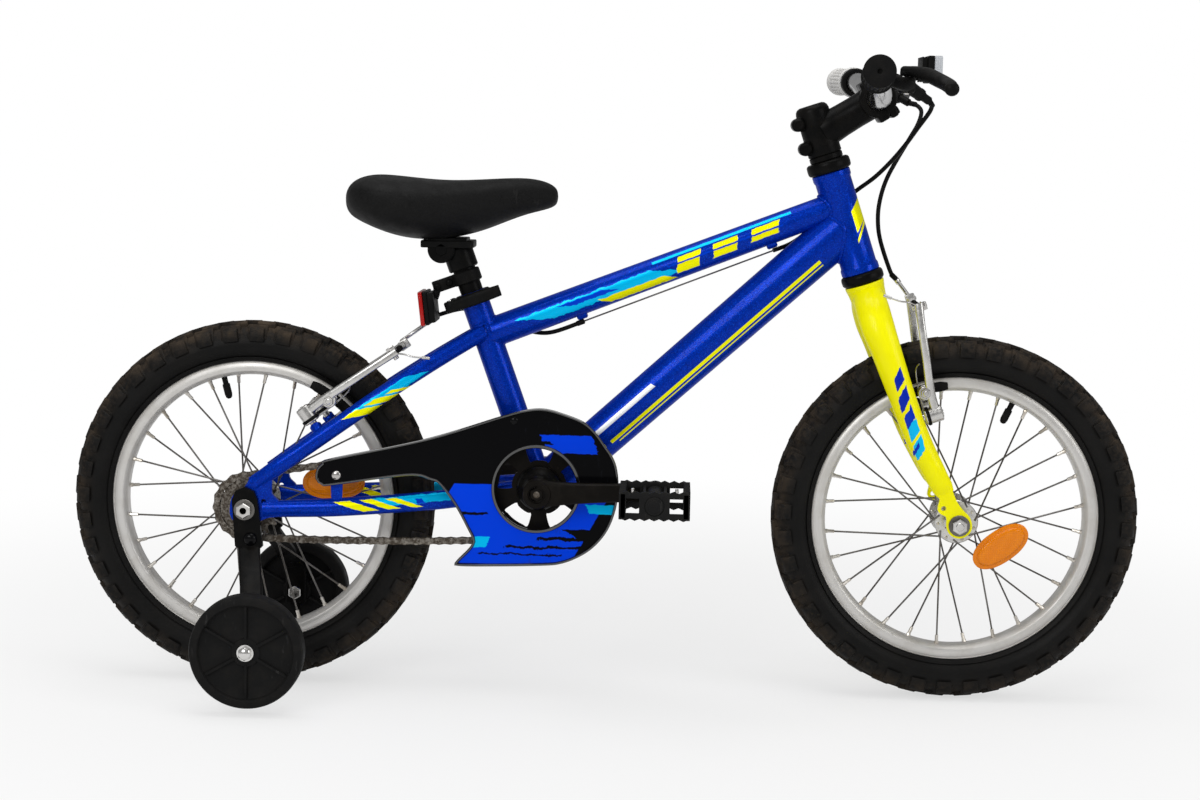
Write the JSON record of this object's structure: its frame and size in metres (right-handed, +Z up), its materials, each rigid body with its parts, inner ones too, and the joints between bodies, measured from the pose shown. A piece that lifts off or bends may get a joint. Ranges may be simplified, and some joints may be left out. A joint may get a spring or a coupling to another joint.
{
  "type": "kids bike",
  "caption": "Kids bike with stabilisers: low sloping frame, rim brakes, full chain guard, padded saddle and knobbly tyres.",
  "frame": {"origin": "on the ground, midway between the two axles and in the middle plane of the wheels", "axes": "+X forward along the bike, +Y to the rider's left, +Z up"},
  "size_m": [1.189, 0.5282, 0.711],
  "materials": {
    "blue_paint": "gloss metallic",
    "yellow_paint": "gloss fluorescent",
    "black_plastic": "satin",
    "black_steel": "satin",
    "saddle_cover": "matte",
    "black_rubber": "matte",
    "tyre_rubber": "matte",
    "silver_alloy": "satin",
    "bright_steel": "bright",
    "chain_steel": "oiled",
    "guard_plastic": "gloss",
    "amber_lens": "clear gloss",
    "red_lens": "clear gloss",
    "clear_lens": "clear gloss"
  },
  "bodies": {
    "frame": {"frame": "blue_paint", "headset_cup_lower": "black_steel", "headset_cup_upper": "black_steel", "rear_axle": "bright_steel", "chain": "chain_steel", "chain_guard": "guard_plastic", "seat_collar": "black_steel", "rear_brake_cable": "black_plastic", "rear_brake_noodle": "bright_steel", "stabiliser_bracket_right": "black_steel", "stabiliser_bracket_left": "black_steel"},
    "steering": {"fork": "yellow_paint", "headset_spacer": "black_steel", "stem": "black_steel", "stem_faceplate": "black_steel", "handlebar": "silver_alloy", "grip_right": "black_rubber", "grip_left": "black_rubber", "brake_lever_perch_right": "black_plastic", "brake_lever_perch_left": "black_plastic", "front_reflector_bracket": "black_plastic", "front_reflector": "clear_lens", "front_axle": "bright_steel", "front_brake_cable": "black_plastic", "front_brake_noodle": "bright_steel", "rear_brake_cable_loop": "black_plastic"},
    "front_wheel": {"front_tyre": "tyre_rubber", "front_rim": "silver_alloy", "front_hub": "silver_alloy", "front_spoke_reflector": "amber_lens"},
    "rear_wheel": {"rear_tyre": "tyre_rubber", "rear_rim": "silver_alloy", "rear_hub": "silver_alloy", "rear_spoke_reflector": "amber_lens"},
    "freewheel": {"rear_cog": "chain_steel"},
    "crank": {"chainring": "black_steel", "crank_spindle": "bright_steel", "crank_arm_right": "black_steel", "crank_arm_left": "black_steel"},
    "right_pedal": {"pedal_right": "black_plastic"},
    "left_pedal": {"pedal_left": "black_plastic"},
    "right_lever": {"brake_lever_right": "black_plastic"},
    "left_lever": {"brake_lever_left": "black_plastic"},
    "front_right_brake": {"front_brake_arm_right": "silver_alloy", "front_brake_pad_right": "black_rubber"},
    "front_left_brake": {"front_brake_arm_left": "silver_alloy", "front_brake_pad_left": "black_rubber"},
    "rear_right_brake": {"rear_brake_arm_right": "silver_alloy", "rear_brake_pad_right": "black_rubber"},
    "rear_left_brake": {"rear_brake_arm_left": "silver_alloy", "rear_brake_pad_left": "black_rubber"},
    "seat": {"seat_post": "black_steel", "saddle_clamp": "black_steel", "saddle": "saddle_cover", "rear_reflector_bracket": "black_plastic", "rear_reflector": "red_lens"},
    "seat_clamp": {"seat_clamp_lever": "black_plastic"},
    "right_stabiliser_wheel": {"stabiliser_wheel_right": "black_plastic"},
    "left_stabiliser_wheel": {"stabiliser_wheel_left": "black_plastic"}
  },
  "joints": [
    {"name": "steering_turn", "type": "hinge", "parent": "frame", "child": "steering", "pos_m": [0.281, 0, 0.4687], "axis": [-0.3198, 0, 0.9475], "range_deg": [-45, 45], "deforming": ["rear_brake_cable_loop"]},
    {"name": "front_wheel_spin", "type": "hinge", "parent": "steering", "child": "front_wheel", "pos_m": [0.391, 0, 0.2035], "axis": [0, 1, 0], "continuous": true},
    {"name": "rear_wheel_spin", "type": "hinge", "parent": "frame", "child": "rear_wheel", "pos_m": [-0.391, 0, 0.2035], "axis": [0, 1, 0], "continuous": true},
    {"name": "crank_spin", "type": "hinge", "parent": "frame", "child": "crank", "pos_m": [-0.069, 0, 0.2323], "axis": [0, 1, 0], "continuous": true},
    {"name": "freewheel_spin", "type": "hinge", "parent": "frame", "child": "freewheel", "pos_m": [-0.391, 0, 0.2035], "axis": [0, 1, 0], "continuous": true},
    {"name": "right_pedal_spin", "type": "hinge", "parent": "crank", "child": "right_pedal", "pos_m": [0.05891, -0.0825, 0.23721], "axis": [0, 1, 0], "continuous": true},
    {"name": "left_pedal_spin", "type": "hinge", "parent": "crank", "child": "left_pedal", "pos_m": [-0.19691, 0.0825, 0.22739], "axis": [0, 1, 0], "continuous": true},
    {"name": "right_lever_pull", "type": "hinge", "parent": "steering", "child": "right_lever", "pos_m": [0.309, -0.124, 0.6765], "axis": [0, 0, -1], "range_deg": [0, 20], "stiffness_Nm_per_rad": 1.5, "springref_deg": -8.59},
    {"name": "left_lever_pull", "type": "hinge", "parent": "steering", "child": "left_lever", "pos_m": [0.309, 0.124, 0.6765], "axis": [0, 0, 1], "range_deg": [0, 20], "stiffness_Nm_per_rad": 1.5, "springref_deg": -8.59},
    {"name": "front_right_brake_swing", "type": "hinge", "parent": "steering", "child": "front_right_brake", "pos_m": [0.36325, -0.042, 0.32506], "axis": [-0.9475, 0, -0.3198], "range_deg": [0, 2.4], "stiffness_Nm_per_rad": 3, "springref_deg": -2.86},
    {"name": "front_left_brake_swing", "type": "hinge", "parent": "steering", "child": "front_left_brake", "pos_m": [0.36325, 0.042, 0.32506], "axis": [0.9475, 0, 0.3198], "range_deg": [0, 2.4], "stiffness_Nm_per_rad": 3, "springref_deg": -2.86},
    {"name": "rear_right_brake_swing", "type": "hinge", "parent": "frame", "child": "rear_right_brake", "pos_m": [-0.32742, -0.042, 0.31035], "axis": [-0.585, 0, 0.811], "range_deg": [0, 2.4], "stiffness_Nm_per_rad": 3, "springref_deg": -2.86},
    {"name": "rear_left_brake_swing", "type": "hinge", "parent": "frame", "child": "rear_left_brake", "pos_m": [-0.32742, 0.042, 0.31035], "axis": [0.585, 0, -0.811], "range_deg": [0, 2.4], "stiffness_Nm_per_rad": 3, "springref_deg": -2.86},
    {"name": "seat_height", "type": "slide", "parent": "frame", "child": "seat", "axis": [-0.342, 0, 0.9397], "range_m": [-0.01, 0.06]},
    {"name": "seat_clamp_open", "type": "hinge", "parent": "frame", "child": "seat_clamp", "pos_m": [-0.17043, -0.018, 0.4279], "axis": [0.342, 0, -0.9397], "range_deg": [0, 120]},
    {"name": "right_stabiliser_spin", "type": "hinge", "parent": "frame", "child": "right_stabiliser_wheel", "pos_m": [-0.3695, -0.16, 0.069], "axis": [0, 1, 0], "continuous": true},
    {"name": "left_stabiliser_spin", "type": "hinge", "parent": "frame", "child": "left_stabiliser_wheel", "pos_m": [-0.3695, 0.16, 0.069], "axis": [0, 1, 0], "continuous": true}
  ],
  "couplings": [
    {"joint": "freewheel_spin", "follows": "crank_spin", "ratio": 1.6471},
    {"joint": "front_right_brake_swing", "follows": "left_lever_pull", "ratio": 0.115},
    {"joint": "front_left_brake_swing", "follows": "left_lever_pull", "ratio": 0.115},
    {"joint": "rear_right_brake_swing", "follows": "right_lever_pull", "ratio": 0.115},
    {"joint": "rear_left_brake_swing", "follows": "right_lever_pull", "ratio": 0.115}
  ]
}
